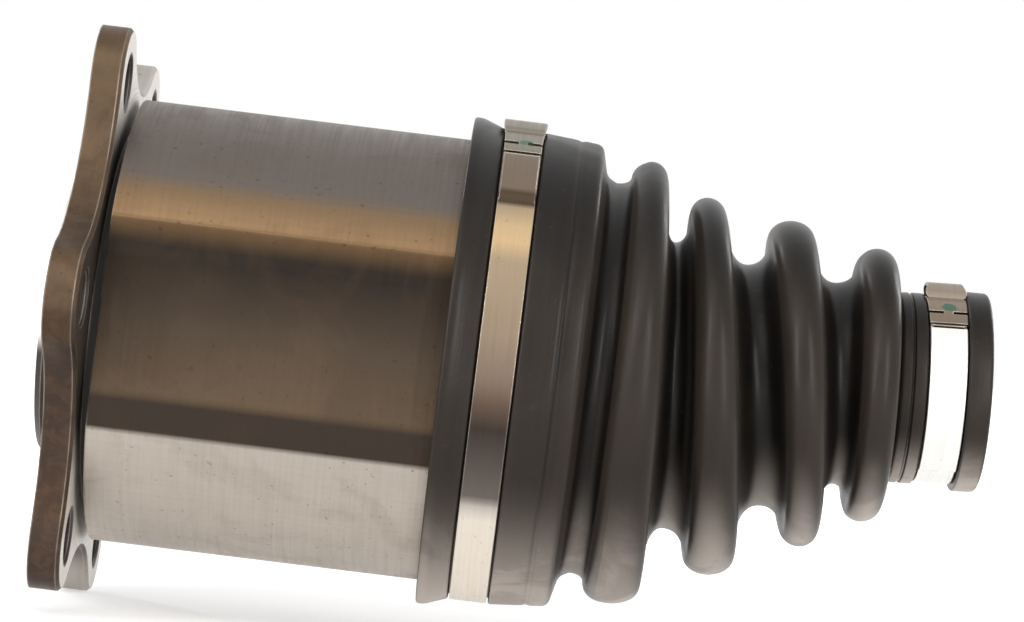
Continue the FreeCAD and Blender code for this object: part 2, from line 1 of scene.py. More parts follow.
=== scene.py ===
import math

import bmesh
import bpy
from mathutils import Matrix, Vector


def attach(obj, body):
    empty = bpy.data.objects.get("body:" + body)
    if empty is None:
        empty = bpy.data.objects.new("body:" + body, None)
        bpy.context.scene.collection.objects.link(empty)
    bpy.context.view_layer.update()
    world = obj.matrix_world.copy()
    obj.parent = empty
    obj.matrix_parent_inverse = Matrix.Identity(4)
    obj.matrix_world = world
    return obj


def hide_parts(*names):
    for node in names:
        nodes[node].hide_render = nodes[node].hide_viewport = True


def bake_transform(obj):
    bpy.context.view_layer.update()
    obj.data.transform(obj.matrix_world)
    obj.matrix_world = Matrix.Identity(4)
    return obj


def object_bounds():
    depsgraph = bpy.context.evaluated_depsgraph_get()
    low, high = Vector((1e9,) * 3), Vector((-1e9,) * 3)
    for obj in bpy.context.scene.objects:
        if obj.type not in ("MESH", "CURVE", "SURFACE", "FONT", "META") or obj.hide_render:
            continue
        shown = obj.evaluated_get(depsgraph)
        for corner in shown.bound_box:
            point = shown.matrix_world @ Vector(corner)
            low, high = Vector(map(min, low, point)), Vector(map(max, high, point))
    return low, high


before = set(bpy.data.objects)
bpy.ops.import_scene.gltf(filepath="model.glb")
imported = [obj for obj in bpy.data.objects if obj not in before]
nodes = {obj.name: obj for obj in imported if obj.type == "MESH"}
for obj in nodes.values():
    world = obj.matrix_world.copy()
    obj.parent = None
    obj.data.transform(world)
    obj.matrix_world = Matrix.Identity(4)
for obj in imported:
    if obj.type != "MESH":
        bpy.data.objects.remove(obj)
cad_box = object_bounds()

# %% [markdown]
# The object is the inboard end of a drive shaft. A flanged steel tulip holds three
# rollers on a spider, and a bellows boot with two crimped clamps keeps the grease in.
# The steel parts come with the frame and mostly need only their finishes. The boot is
# soft, so it is built again as a thin skin, and the clamps are bent again from strip.
# The scene is in metres. Shapes are written in millimetres and multiplied by MM where
# they become points.

MM = 0.001
scene = bpy.context.scene


def new_object(name, data):
    """A new object in the scene."""
    made = bpy.data.objects.new(name, data)
    scene.collection.objects.link(made)
    return made


# %% [markdown]
# The camera stands level with the shaft and well away from it, on a long lens, and is
# rolled by seven degrees, so the level shaft runs down to the right in the picture.
# Its three directions are put into a matrix, which leaves no doubt about the order of
# any turns.

# %% Camera
ROLL = math.radians(7.03)
right = Vector((math.cos(ROLL), 0.0, math.sin(ROLL)))
up = Vector((-math.sin(ROLL), 0.0, math.cos(ROLL)))
back = right.cross(up)
camera = new_object("camera", bpy.data.cameras.new("camera"))
camera.rotation_euler = Matrix((right, up, back)).transposed().to_euler()
camera.location = (0.0836, -0.700, 0.01105)
camera.data.sensor_width = 36.0
camera.data.lens = 125.6
scene.camera = camera
print("camera", round(camera.location.length, 3), "m from the flange")

# %% [markdown]
# Finishes are built from shader nodes. A small helper adds a node, sets its options
# and fills its sockets, either with a number or with a link from another node. Short
# helpers on top of it do sums, fit a value to a range and make noise.

# %% Helpers for shader nodes
def add(tree, kind, inputs=None, **options):
    """Add a node, set its options, then fill or link its inputs by name or number."""
    node = tree.nodes.new(kind)
    for name, value in options.items():
        setattr(node, name, value)
    for name, value in (inputs or {}).items():
        if isinstance(value, bpy.types.NodeSocket):
            tree.links.new(value, node.inputs[name])
        else:
            node.inputs[name].default_value = value
    return node


def maths(tree, operation, first, second=0.0, third=0.0):
    """A sum's result; numbers that the operation doesn't use are left out."""
    inputs = {0: first, 1: second, 2: third}
    return add(tree, "ShaderNodeMath", inputs, operation=operation).outputs[0]


def product(tree, first, second):
    """Two numbers multiplied."""
    return maths(tree, "MULTIPLY", first, second)


def rest_of(tree, share):
    """What a share leaves of one."""
    return maths(tree, "SUBTRACT", 1.0, share)


def range_of(tree, value, low, high, to_low=0.0, to_high=1.0):
    """A value carried smoothly from one range to another."""
    inputs = {"Value": value, "From Min": low, "From Max": high,
              "To Min": to_low, "To Max": to_high}
    node = add(tree, "ShaderNodeMapRange", inputs, interpolation_type="SMOOTHSTEP")
    return node.outputs["Result"]


def noise_of(tree, place, scale, detail=2.0, **inputs):
    """Noise about a place."""
    inputs.update(Vector=place, Scale=scale, Detail=detail)
    return add(tree, "ShaderNodeTexNoise", inputs).outputs["Fac"]


print("node helpers ready")

# %% [markdown]
# Colours are written as they look on a screen, from 0 to 255, and turned into the
# linear values that a renderer works with. A tone is built up in layers: one colour
# first, and then others laid over it where a mask says so. A ramp over the angle, in
# degrees, places bands of tone round the shaft.

# %% Helpers for tones
def linear(colour):
    """A screen colour from 0 to 255 as linear red, green, blue and alpha."""
    parts = []
    for value in colour:
        share = value / 255.0
        parts.append(share / 12.92 if share <= 0.04045 else ((share + 0.055) / 1.055) ** 2.4)
    return (*parts, 1.0)


def mixed(tree, share, first, second):
    """A mix of two colours, each a link or a screen colour from 0 to 255."""
    first, second = [linear(colour) if isinstance(colour, tuple) else colour
                     for colour in (first, second)]
    inputs = {0: share, 6: first, 7: second}
    return add(tree, "ShaderNodeMix", inputs, data_type="RGBA").outputs[2]


def cover(tree, tone, mask, colour, share=1.0):
    """A tone with a screen colour laid over it by a share of a mask."""
    if share != 1.0:
        mask = product(tree, mask, share)
    return mixed(tree, mask, tone, colour)


def ramp_of(tree, turn, stops):
    """Colours round a turn, from stops of (degrees from -180 to 180, colour)."""
    node = add(tree, "ShaderNodeValToRGB", {"Fac": turn})
    elements = node.color_ramp.elements
    stops = [(0.5 + degrees / 360.0, linear(colour)) for degrees, colour in stops]
    elements[0].position, elements[0].color = stops[0]
    elements[1].position, elements[1].color = stops[-1]
    for position, colour in stops[1:-1]:
        elements.new(position).color = colour
    return node.outputs["Color"]


print("tone helpers ready")

# %% [markdown]
# Finishes ask where a point is and which way the surface faces there. They use the
# object's own coordinates, so a finish stays on its part wherever the part goes.

# %% Helpers for places
def place_of(tree):
    """Where a point is."""
    return add(tree, "ShaderNodeTexCoord").outputs["Object"]


def parts_of(tree, vector):
    """A vector's X, Y and Z."""
    return add(tree, "ShaderNodeSeparateXYZ", {"Vector": vector}).outputs


def facing_of(tree):
    """Which way the surface faces, as X, Y and Z."""
    return parts_of(tree, add(tree, "ShaderNodeTexCoord").outputs["Normal"])


def from_axis(tree, axes):
    """How far a point is from the shaft's axis."""
    across = product(tree, axes["Y"], axes["Y"])
    return maths(tree, "SQRT", maths(tree, "MULTIPLY_ADD", axes["Z"], axes["Z"], across))


def angle_round(tree, height, across):
    """The angle upwards from the camera's side, which is at 0.5 of a whole turn."""
    turn = maths(tree, "ARCTAN2", height, product(tree, across, -1.0))
    return maths(tree, "MULTIPLY_ADD", turn, 0.5 / math.pi, 0.5)


print("place helpers ready")

# %% [markdown]
# An effect that several materials share is a node group with named sockets. It is
# opened with its inputs' names and plain values, and closed with its results.

# %% Helpers for node groups
def open_group(name, **values):
    """A node group with these inputs; an underscore in a name stands for a space."""
    group = bpy.data.node_groups.new(name, "ShaderNodeTree")
    for label, value in values.items():
        kind = "NodeSocketVector" if isinstance(value, tuple) else "NodeSocketFloat"
        label = label.replace("_", " ")
        socket = group.interface.new_socket(label, in_out="INPUT", socket_type=kind)
        socket.default_value = value
    return group, group.nodes.new("NodeGroupInput").outputs


def close_group(group, **results):
    """Link a group's results to output sockets with these names."""
    for label, result in results.items():
        kind = "NodeSocketVector" if result.type == "VECTOR" else "NodeSocketFloat"
        group.interface.new_socket(label, in_out="OUTPUT", socket_type=kind)
    leave = group.nodes.new("NodeGroupOutput").inputs
    for label, result in results.items():
        group.links.new(result, leave[label])
    print("group", group.name, "gives", ", ".join(results))


def use_group(tree, name, **values):
    """Place a group by its name; an underscore in a socket's name stands for a space."""
    inputs = {label.replace("_", " "): value for label, value in values.items()}
    return add(tree, "ShaderNodeGroup", inputs, node_tree=bpy.data.node_groups[name]).outputs


print("group helpers ready")

# %% [markdown]
# Cutting tools and grinding leave fine lines in steel, and a mould leaves fine grain
# in rubber. Both are noise that is stretched by a different amount along each axis.
# One group makes them, and each finish gives it its own stretch.

# %% Group: fine lines
group, given = open_group("fine lines", Stretch=(100.0, 100.0, 100.0), Detail=3.0)
stretched = add(group, "ShaderNodeVectorMath",
                {0: place_of(group), 1: given["Stretch"]}, operation="MULTIPLY")
grain = noise_of(group, stretched.outputs[0], 1.0, given["Detail"], Roughness=0.6)
close_group(group, Value=range_of(group, grain, 0.25, 0.75))

# %% [markdown]
# A turned face has its lines in rings about the shaft. Noise over the distance from
# the axis gives them, and a slow noise over the whole face keeps them from being even.

# %% Group: turned rings
group, given = open_group("turned rings", Rings_per_metre=1500.0)
place = place_of(group)
distance = from_axis(group, parts_of(group, place))
counted = product(group, distance, given["Rings per metre"])
uneven = maths(group, "ADD", counted, noise_of(group, place, 60.0))
ring_noise = add(group, "ShaderNodeTexNoise", {"W": uneven, "Scale": 1.0, "Detail": 2.0},
                 noise_dimensions="1D").outputs["Fac"]
close_group(group, Value=range_of(group, ring_noise, 0.25, 0.75))

# %% [markdown]
# Oil, oxide and handling leave soft patches on bare steel, with a few dark specks in
# them. Large noise bent by smaller noise gives the patches, and a second output keeps
# only the strongest points of a fine noise for the specks.

# %% Group: patches
group, given = open_group("patches", Scale=40.0, Spread=0.5)
place = place_of(group)
wander = noise_of(group, place, given["Scale"], 6.0, Roughness=0.62, Distortion=0.8)
low = maths(group, "MULTIPLY_ADD", given["Spread"], -0.3, 0.62)
high = maths(group, "ADD", low, 0.16)
specks = range_of(group, noise_of(group, place, 900.0), 0.66, 0.76)
close_group(group, Patch=range_of(group, wander, low, high), Speck=specks)

# %% [markdown]
# No real steel edge is perfectly sharp. The Bevel node rounds the normals within a
# small distance of an edge, and where the rounded normal parts from the true one is
# the edge itself. The group gives out the rounded normal and that mask, broken up by
# noise, so that an edge can catch the light and be rubbed bright.

# %% Group: worn edges
group, given = open_group("worn edges", Radius=0.0004, Wear=1.0)
bevel = add(group, "ShaderNodeBevel", {"Radius": given["Radius"]}, samples=6)
rounded = bevel.outputs["Normal"]
true_normal = add(group, "ShaderNodeNewGeometry").outputs["Normal"]
agree = add(group, "ShaderNodeVectorMath", {0: rounded, 1: true_normal},
            operation="DOT_PRODUCT").outputs["Value"]
parted = range_of(group, agree, 0.995, 0.90)
rub = noise_of(group, place_of(group), 160.0, 4.0)
rubbed = product(group, parted, range_of(group, rub, 0.3, 0.6, 0.35, 1.0))
close_group(group, Mask=product(group, rubbed, given["Wear"]), Normal=rounded)

# %% [markdown]
# Every material ends in one Principled BSDF. This helper makes the material, sets the
# plain values on the shader's own sockets and gives back the tree and the shader.

# %% Helpers for materials
def new_material(name, **values):
    """A material with a Principled BSDF; an underscore in a name stands for a space."""
    material = bpy.data.materials.new(name)
    material.use_nodes = True
    tree = material.node_tree
    shader = tree.nodes["Principled BSDF"]
    for socket, value in values.items():
        shader.inputs[socket.replace("_", " ")].default_value = value
    return material, tree, shader


def feed(tree, shader, **links):
    """Link values to the shader's sockets."""
    for socket, value in links.items():
        tree.links.new(value, shader.inputs[socket.replace("_", " ")])


def bumped(tree, height, depth, **normal):
    """A bump of that depth in metres, on top of a normal if one is given."""
    inputs = {"Height": height, "Distance": depth, "Strength": 1.0, **normal}
    return add(tree, "ShaderNodeBump", inputs).outputs["Normal"]


print("material helpers ready")

# %% [markdown]
# The tulip is forged, and then turned where it is round. Its six long corners divide
# it into three round backs, three flats and six narrow slopes. Turned steel is pale,
# and the flats keep a brown skin from the heat of the forge. A ramp over the angle
# about the shaft gives each face its own tone, because the corners run straight along
# the shaft. In it the round back that faces down is painted paler as light from below
# and the other two greyer as shade, the tan and dark brown bands are partly painted
# reflections, and the bright line on each corner is a painted highlight.

# %% Tones round the tulip
CORNER = 27.2
FLAT = 18.0
LINE = 0.35
# The grey backs are painted shade, the pale back is painted light from below, and the edge tones
# are painted highlights.
turned_painted_shade = (113, 105, 99)
turned_painted_light = (193, 184, 174)
straw = (132, 109, 83)
straw_edge_highlight = (214, 180, 138)
brown = (98, 82, 66)
deep_brown = (42, 37, 33)
slope_grey = (62, 54, 48)
pale_edge_highlight = (206, 194, 180)
tulip_stops = [
    (-180, turned_painted_shade), (-155, straw), (-147.4, straw), (-147.0, straw_edge_highlight),
    (-146.4, slope_grey), (-138.2, deep_brown), (-120, brown), (-102.2, brown),
    (-101.6, slope_grey), (-93.4, slope_grey), (-92.8, pale_edge_highlight), (-92.2, turned_painted_light),
    (-CORNER - LINE, turned_painted_light), (-CORNER, pale_edge_highlight), (-CORNER + LINE, slope_grey),
    (-FLAT - LINE, slope_grey), (-FLAT, (150, 124, 94)), (-FLAT + 2 * LINE, brown),
    (0, (82, 70, 59)), (FLAT, deep_brown), (21.5, deep_brown),
    (CORNER - LINE, (108, 84, 58)), (CORNER, straw_edge_highlight),
    (CORNER + LINE, (146, 118, 88)), (36.0, straw), (41, turned_painted_shade), (84, turned_painted_shade),
    (92.6, (136, 118, 96)), (93.2, slope_grey), (120, brown), (146.6, slope_grey),
    (180, turned_painted_shade),
]
print(len(tulip_stops), "tones round the tulip")

# %% [markdown]
# The flange has six bolt holes in its lobes, and their walls are painted dark as
# shade. A point belongs to a hole when it is near the middle of its nearest lobe. Turning the
# point's angle into an angle from that lobe's own middle lets one sum serve all six.

# %% Group: bolt holes
HALF_PITCH = math.pi / 6.0
group, given = open_group("bolt holes", Circle=0.05, Clock=4.5, Inner=0.0057, Outer=0.0060)
axes = parts_of(group, place_of(group))
distance = from_axis(group, axes)
turn = maths(group, "ARCTAN2", axes["Z"], axes["Y"])
turn = maths(group, "ADD", turn, product(group, given["Clock"], math.pi / 180.0))
from_lobe = maths(group, "WRAP", turn, HALF_PITCH, -HALF_PITCH)
outwards = product(group, distance, maths(group, "COSINE", from_lobe))
outwards = maths(group, "SUBTRACT", outwards, given["Circle"])
sideways = product(group, distance, maths(group, "SINE", from_lobe))
squares = maths(group, "MULTIPLY_ADD", sideways, sideways,
                product(group, outwards, outwards))
from_hole = maths(group, "SQRT", squares)
close_group(group, Mask=range_of(group, from_hole, given["Outer"], given["Inner"]))

# %% [markdown]
# The forging's finish starts with the tulip. The ramp gives its bands, and dark clouds
# lie over the three flats, where the skin was never turned off. A point's angle from
# the nearest flat's middle says whether it is on one.

# %% Machined forging: the tulip
ON_FLAT, OFF_FLAT = 0.25, 0.04
forging, tree, shader = new_material("machined forging")
axes = parts_of(tree, place_of(tree))
turn = angle_round(tree, axes["Z"], axes["Y"])
from_flat = maths(tree, "WRAP", maths(tree, "SUBTRACT", turn, 0.5), 1.0 / 6.0, -1.0 / 6.0)
from_flat = maths(tree, "ABSOLUTE", from_flat)
cloudy = range_of(tree, from_flat, CORNER / 360.0, (CORNER - 1.0) / 360.0, OFF_FLAT, ON_FLAT)
clouds = use_group(tree, "patches", Scale=26.0, Spread=0.8)["Patch"]
tulip_tone = mixed(tree, product(tree, clouds, cloudy), ramp_of(tree, turn, tulip_stops),
                   slope_grey)
print("material", forging.name)

# %% [markdown]
# The flange's rim is left as the forge made it, brown and mottled, and darker towards
# the bottom; its paler far side is a painted reflection. Its two faces are turned, and
# the back one is painted brighter than the front one as a reflection. A dark patch of
# painted shade lies on the near side of the back face.

# %% Machined forging: the flange
rings = use_group(tree, "turned rings", Rings_per_metre=1600.0)["Value"]
patches = use_group(tree, "patches", Scale=55.0, Spread=0.45)
mottle = use_group(tree, "patches", Scale=240.0, Spread=0.6)["Patch"]
rim_tone = mixed(tree, range_of(tree, axes["Z"], 0.012, -0.012), (97, 81, 65), (74, 62, 56))
rim_tone = cover(tree, rim_tone, patches["Patch"], (70, 56, 47), 0.6)
rim_tone = cover(tree, rim_tone, mottle, (120, 94, 70), 0.2)
# The rim's far side is painted pale as a reflection.
rim_tone = cover(tree, rim_tone, range_of(tree, axes["Y"], 0.002, 0.014), (180, 174, 167))

front_tone = mixed(tree, rings, (150, 144, 137), (184, 178, 170))
# The back face is painted near white as a reflection.
back_tone = mixed(tree, rings, (222, 216, 208), (240, 236, 230))
# A dark patch of painted shade on the near side of the back face.
from_middle = maths(tree, "ABSOLUTE", maths(tree, "SUBTRACT", axes["Z"], 0.006))
back_face_painted_shade = product(tree, range_of(tree, from_middle, 0.036, 0.024),
                   range_of(tree, axes["Y"], 0.0, -0.012))
back_tone = cover(tree, back_tone, back_face_painted_shade, (64, 56, 50))
facing = facing_of(tree)["X"]
on_back = range_of(tree, facing, 0.75, 0.9)
on_front = range_of(tree, facing, -0.75, -0.9)
flange_tone = mixed(tree, on_back, mixed(tree, on_front, rim_tone, front_tone), back_tone)
print("flange tones ready")

# %% [markdown]
# The spigot on the front is turned bright, but darker on a patch low on its near
# side. The narrow groove behind the flange and the bolt holes are painted dark as shade.

# %% Machined forging: spigot, groove and holes
GROOVE_MIDDLE, GROOVE_HALF, GROOVE_FADE = 6.95 * MM, 0.85 * MM, 0.15 * MM
# Darker on a patch low on the spigot's near side.
low_near_dark_patch = product(tree, range_of(tree, axes["Z"], -0.003, -0.008),
                  range_of(tree, axes["Y"], 0.004, -0.006))
spigot_tone = mixed(tree, low_near_dark_patch, (250, 247, 243), (66, 60, 58))
before_face = range_of(tree, axes["X"], -0.05 * MM, -0.25 * MM)
on_spigot = product(tree, before_face, rest_of(tree, on_front))
flange_tone = mixed(tree, on_spigot, flange_tone, spigot_tone)
on_flange = range_of(tree, axes["X"], 6.25 * MM, 6.05 * MM)
from_groove = maths(tree, "ABSOLUTE", maths(tree, "SUBTRACT", axes["X"], GROOVE_MIDDLE))
in_groove = range_of(tree, from_groove, GROOVE_HALF, GROOVE_HALF - GROOVE_FADE)
in_hole = product(tree, use_group(tree, "bolt holes")["Mask"], on_flange)
tone = mixed(tree, on_flange, tulip_tone, flange_tone)
# The groove and the holes are painted dark as shade.
tone = cover(tree, tone, in_groove, (44, 37, 33))
tone = cover(tree, tone, in_hole, (40, 33, 29))
print("the groove is", round(2.0 * GROOVE_HALF / MM, 2), "mm wide")

# %% [markdown]
# Fine lines, patches, specks and worn edges lie over all of it. The groove and the
# holes, painted dark as shade, have no metal, and the back face, painted pale as a
# reflection, is shaded mostly as matt.

# %% Machined forging: wear
along = use_group(tree, "fine lines", Stretch=(18.0, 1400.0, 1400.0))["Value"]
around = use_group(tree, "fine lines", Stretch=(1500.0, 40.0, 40.0), Detail=4.0)["Value"]
edge = use_group(tree, "worn edges", Radius=0.0005, Wear=0.9)
streaks = maths(tree, "ADD", product(tree, along, 0.05), product(tree, around, 0.06))
tone = cover(tree, tone, streaks, (58, 50, 44))
tone = cover(tree, tone, patches["Patch"], (104, 82, 62), 0.08)
tone = cover(tree, tone, patches["Speck"], (48, 40, 35), 0.4)
tone = cover(tree, tone, edge["Mask"], (216, 206, 194), 0.7)
roughness = maths(tree, "MULTIPLY_ADD", around, 0.12, 0.36)
roughness = maths(tree, "MULTIPLY_ADD", patches["Patch"], 0.10, roughness)
metal = maths(tree, "MULTIPLY_ADD", product(tree, on_back, on_flange), -0.7, 1.0)
# No metal where the groove and the holes are painted dark as shade.
recess_painted_shade = maths(tree, "MAXIMUM", in_groove, in_hole)
metal = product(tree, metal, rest_of(tree, recess_painted_shade))
relief = maths(tree, "ADD", product(tree, along, 0.4), product(tree, around, 0.6))
feed(tree, shader, Base_Color=tone, Roughness=roughness, Metallic=metal,
     Normal=bumped(tree, relief, 0.000005, Normal=edge["Normal"]))
print("the forging has", len(tree.nodes), "shader nodes")

# %% [markdown]
# The clamps are strips of stainless steel, bright from the rolling mill, with fine
# lines that run along the strip. A dot of green paint on each ear shows that it was
# crimped and checked. The dot is a soft-edged ball of colour about one point, so it
# lies on whatever face of the ear passes through it.

# %% Group: paint dot
group, given = open_group("paint dot", Centre=(0.0, 0.0, 0.0), Radius=0.0014)
place = place_of(group)
reach = add(group, "ShaderNodeVectorMath", {0: place, 1: given["Centre"]},
            operation="DISTANCE").outputs["Value"]
share = maths(group, "DIVIDE", reach, given["Radius"])
ragged = product(group, noise_of(group, place, 900.0), 0.9)
share = maths(group, "ADD", share, ragged)
close_group(group, Mask=range_of(group, share, 1.45, 1.15))

# %% [markdown]
# The strip is bright, and it mirrors the things round it in broad soft bands. These
# bands of grey, tan and brown are painted into it as reflections, with a ramp over the
# angle too, and its step down to the band is painted dark as shade. The small clamp is
# the same strip, painted paler as a highlight, with its tan only by the ear.

# %% Tones round the clamps
# The tones are painted reflections of the things round the strip.
strip_pale = (238, 229, 216)
strip_grey = (88, 82, 77)
strip_tan = (156, 138, 116)
strip_dull = (128, 113, 99)
strip_back = (196, 186, 174)
ear_grey = (140, 132, 119)
# Dark where the lapped end steps down to the band: painted shade.
step_painted_shade = (80, 68, 55)
# The small band's near white is a painted highlight.
small_painted_highlight = (252, 250, 246)
large_stops = [
    (-180, strip_back), (-150, strip_dull), (-120, strip_grey), (-100, strip_tan),
    (-90, strip_pale), (-38, strip_pale), (-34, (204, 196, 188)),
    (-31.5, (112, 105, 99)), (-22, strip_grey), (-14, (62, 55, 50)),
    (-8, (95, 79, 69)), (-2, (122, 105, 92)), (8, (150, 132, 113)),
    (26, strip_tan), (31, (202, 173, 133)), (35, (206, 178, 138)),
    (41.6, (170, 152, 127)), (42.2, step_painted_shade), (45.6, step_painted_shade), (46, strip_dull),
    (58, strip_dull), (64, ear_grey), (92, ear_grey), (120, strip_grey), (150, strip_tan),
    (180, strip_back),
]
small_stops = [
    (-180, strip_tan), (-110, strip_grey), (-96, strip_pale), (-80, small_painted_highlight),
    (41, small_painted_highlight), (43, (134, 121, 107)), (54, (140, 124, 108)),
    (80, (158, 146, 133)), (96, ear_grey), (130, strip_grey), (180, strip_tan),
]
print(len(large_stops), "and", len(small_stops), "tones round the clamps")

# %% [markdown]
# Both clamps take the same finish, each with its own painted reflections, middle height and dot.

# %% Clamp strips
def strip_steel(name, stops, lift, dot, dot_radius):
    """Bright strip steel with bands of painted reflection about its own middle, and a paint dot."""
    material, tree, shader = new_material(name)
    axes = parts_of(tree, place_of(tree))
    height = maths(tree, "SUBTRACT", axes["Z"], lift)
    lines = use_group(tree, "fine lines", Stretch=(1800.0, 30.0, 30.0))["Value"]
    patches = use_group(tree, "patches", Scale=90.0, Spread=0.4)
    edge = use_group(tree, "worn edges", Radius=0.00025, Wear=0.8)
    paint = use_group(tree, "paint dot", Centre=dot, Radius=dot_radius)["Mask"]
    tone = ramp_of(tree, angle_round(tree, height, axes["Y"]), stops)
    tone = cover(tree, tone, lines, (96, 84, 72), 0.10)
    tone = cover(tree, tone, patches["Speck"], (90, 78, 66), 0.2)
    tone = cover(tree, tone, edge["Mask"], (236, 230, 220), 0.8)
    tone = cover(tree, tone, paint, (36, 88, 64))
    rough = maths(tree, "MULTIPLY_ADD", lines, 0.12, 0.30)
    feed(tree, shader, Base_Color=tone, Metallic=rest_of(tree, paint), Roughness=rough,
         Normal=bumped(tree, lines, 0.000004, Normal=edge["Normal"]))
    return material


print("strip steel ready")

# %% [markdown]
# The other steels are seen only through the boot's mouth, in the flange's bore, or
# when the joint is taken apart, but each has its own finish: ground and hardened for
# the spider, rollers and needles, a dark phosphate skin for the bar, a blue temper
# for the springs and zinc plate for the pressed cap.

# %% Other steels
def plain_steel(name, dark, pale, stretch, rough, wear=0.6, metal=1.0):
    """Steel with fine lines between two tones, patches and worn edges."""
    material, tree, shader = new_material(name, Metallic=metal)
    lines = use_group(tree, "fine lines", Stretch=stretch)["Value"]
    patches = use_group(tree, "patches", Scale=70.0, Spread=0.4)
    edge = use_group(tree, "worn edges", Radius=0.0003, Wear=wear)
    tone = mixed(tree, lines, dark, pale)
    tone = cover(tree, tone, patches["Patch"], dark, 0.25)
    tone = cover(tree, tone, patches["Speck"], (46, 40, 36), 0.4)
    tone = cover(tree, tone, edge["Mask"], (214, 208, 200))
    roughness = maths(tree, "MULTIPLY_ADD", patches["Patch"], 0.15, rough)
    feed(tree, shader, Base_Color=tone, Roughness=roughness,
         Normal=bumped(tree, lines, 0.000003, Normal=edge["Normal"]))
    return material


EVEN = (300, 300, 300)
zinc_plate = plain_steel("zinc plated cap", (150, 142, 128), (188, 182, 168), EVEN, 0.36)
bearing_steel = plain_steel("ground bearing steel", (150, 150, 150), (206, 206, 206),
                            (900, 900, 60), 0.2)
bar_steel = plain_steel("phosphated bar", (48, 44, 42), (74, 68, 62), (900, 60, 60), 0.5,
                        wear=0.5, metal=0.8)
spring_steel = plain_steel("blued spring steel", (52, 56, 72), (86, 90, 104), EVEN, 0.32)
print(len(bpy.data.materials), "materials")

# %% [markdown]
# Each steel node keeps its mesh. Its finish goes into the object's own material slot.

# %% Finishes on the frame's nodes
def three_of(*kinds):
    """The names of the three pieces of each kind."""
    return [f"{kind}_{number}" for kind in kinds for number in (1, 2, 3)]


finishes = [
    (forging, ["tulip_housing"]),
    (zinc_plate, ["grease_cap"]),
    (bar_steel, ["shaft"]),
    (bearing_steel, ["spider", *three_of("roller", "needles")]),
    (spring_steel, ["outer_circlip", "inner_circlip", *three_of("retaining_washer", "snap_ring")]),
]
for material, names in finishes:
    for name in names:
        for slot in nodes[name].material_slots:
            slot.link = "OBJECT"
            slot.material = material
print("dressed", sum(len(names) for material, names in finishes), "nodes")

# %% [markdown]
# The boot is moulded rubber, a little over a millimetre thick in its folds. It is a
# line of (place along the shaft, radius) points turned about the boot's middle line.
# The middle line is straight over the tulip and bends up to the shaft's three degrees
# over the folds, so each ring of points stands square to the line at its own place.

# %% The boot's middle line
TILT = math.radians(3.0)
SPIDER_X = 56.0
BEND_START = 106.0
BEND_END = 152.0
AROUND = 168


def boot_height(x):
    """How high the boot's middle line is at x, in millimetres."""
    share = min(max((x - BEND_START) / (BEND_END - BEND_START), 0.0), 1.0)
    return math.tan(TILT) * (x - SPIDER_X) * share * share * (3.0 - 2.0 * share)


def boot_ring(x, radius):
    """The points of one ring of the boot, in metres, square to the middle line at x."""
    rise = (boot_height(x + 0.01) - boot_height(x - 0.01)) / 0.02
    lift = Vector((-rise, 0.0, 1.0)).normalized()
    ring = []
    for step in range(AROUND):
        angle = math.tau * step / AROUND
        reach = radius(angle) if callable(radius) else radius
        point = Vector((x, 0.0, boot_height(x))) + lift * (reach * math.sin(angle))
        point.y += reach * math.cos(angle)
        ring.append(point * MM)
    return ring


def along_shaft(length):
    """The x of a place counted along the tilted shaft from the spider."""
    return SPIDER_X + length * math.cos(TILT)


print("the middle line rises", round(boot_height(158.5), 2), "mm")

# %% [markdown]
# A moulded or bent edge is always rounded. This helper takes corners, each with the
# length that its rounding takes from both of its sides as its last number, and gives
# the points of the line. A corner may have more than two numbers, such as a width.

# %% Rounded lines
def rounded_line(corners, steps=5):
    """The points of a line through corners, rounded by each corner's last number."""
    points = []
    for index, corner in enumerate(corners):
        here, cut = Vector(corner[:-1]), corner[-1]
        if cut == 0 or index in (0, len(corners) - 1):
            points.append(tuple(here))
            continue
        before = Vector(corners[index - 1][:-1]) - here
        after = Vector(corners[index + 1][:-1]) - here
        start = here + before.normalized() * min(cut, before.length * 0.49)
        end = here + after.normalized() * min(cut, after.length * 0.49)
        for step in range(steps + 1):
            t = step / steps
            points.append(tuple(start * (1 - t) ** 2 + here * (2 * t * (1 - t)) + end * t ** 2))
    return points


one_bend = rounded_line([(0, 0, 0), (1, 0, 0.3), (1, 1, 0)])
print("a rounded corner has", len(one_bend) - 2, "points")

# %% [markdown]
# The four folds get smaller towards the shaft. A crest is half an ellipse, and from
# each side of it a wall drops steeply and turns into the next valley with a round
# bottom. The same function gives the inside of the skin, with smaller crests.

# %% The folds' line
FIRST_VALLEY = (100.9, 38.4)
CRESTS = ((108.2, 43.4, 4.4), (123.4, 36.9, 4.0), (140.2, 31.9, 3.8), (154.7, 26.8, 3.5))
VALLEYS = ((115.7, 28.0), (132.1, 23.6), (147.8, 19.7))
CREST_ROUND = 3.2
WALL = 1.3
PULL = 0.62


def swept(start, leave, arrive, end, steps):
    """The points of a smooth curve between two points, without the first."""
    points = []
    for step in range(1, steps + 1):
        t = step / steps
        point = (Vector(start) * (1 - t) ** 3 + Vector(leave) * (3 * t * (1 - t) ** 2)
                 + Vector(arrive) * (3 * t ** 2 * (1 - t)) + Vector(end) * t ** 3)
        points.append((point.x, point.y))
    return points


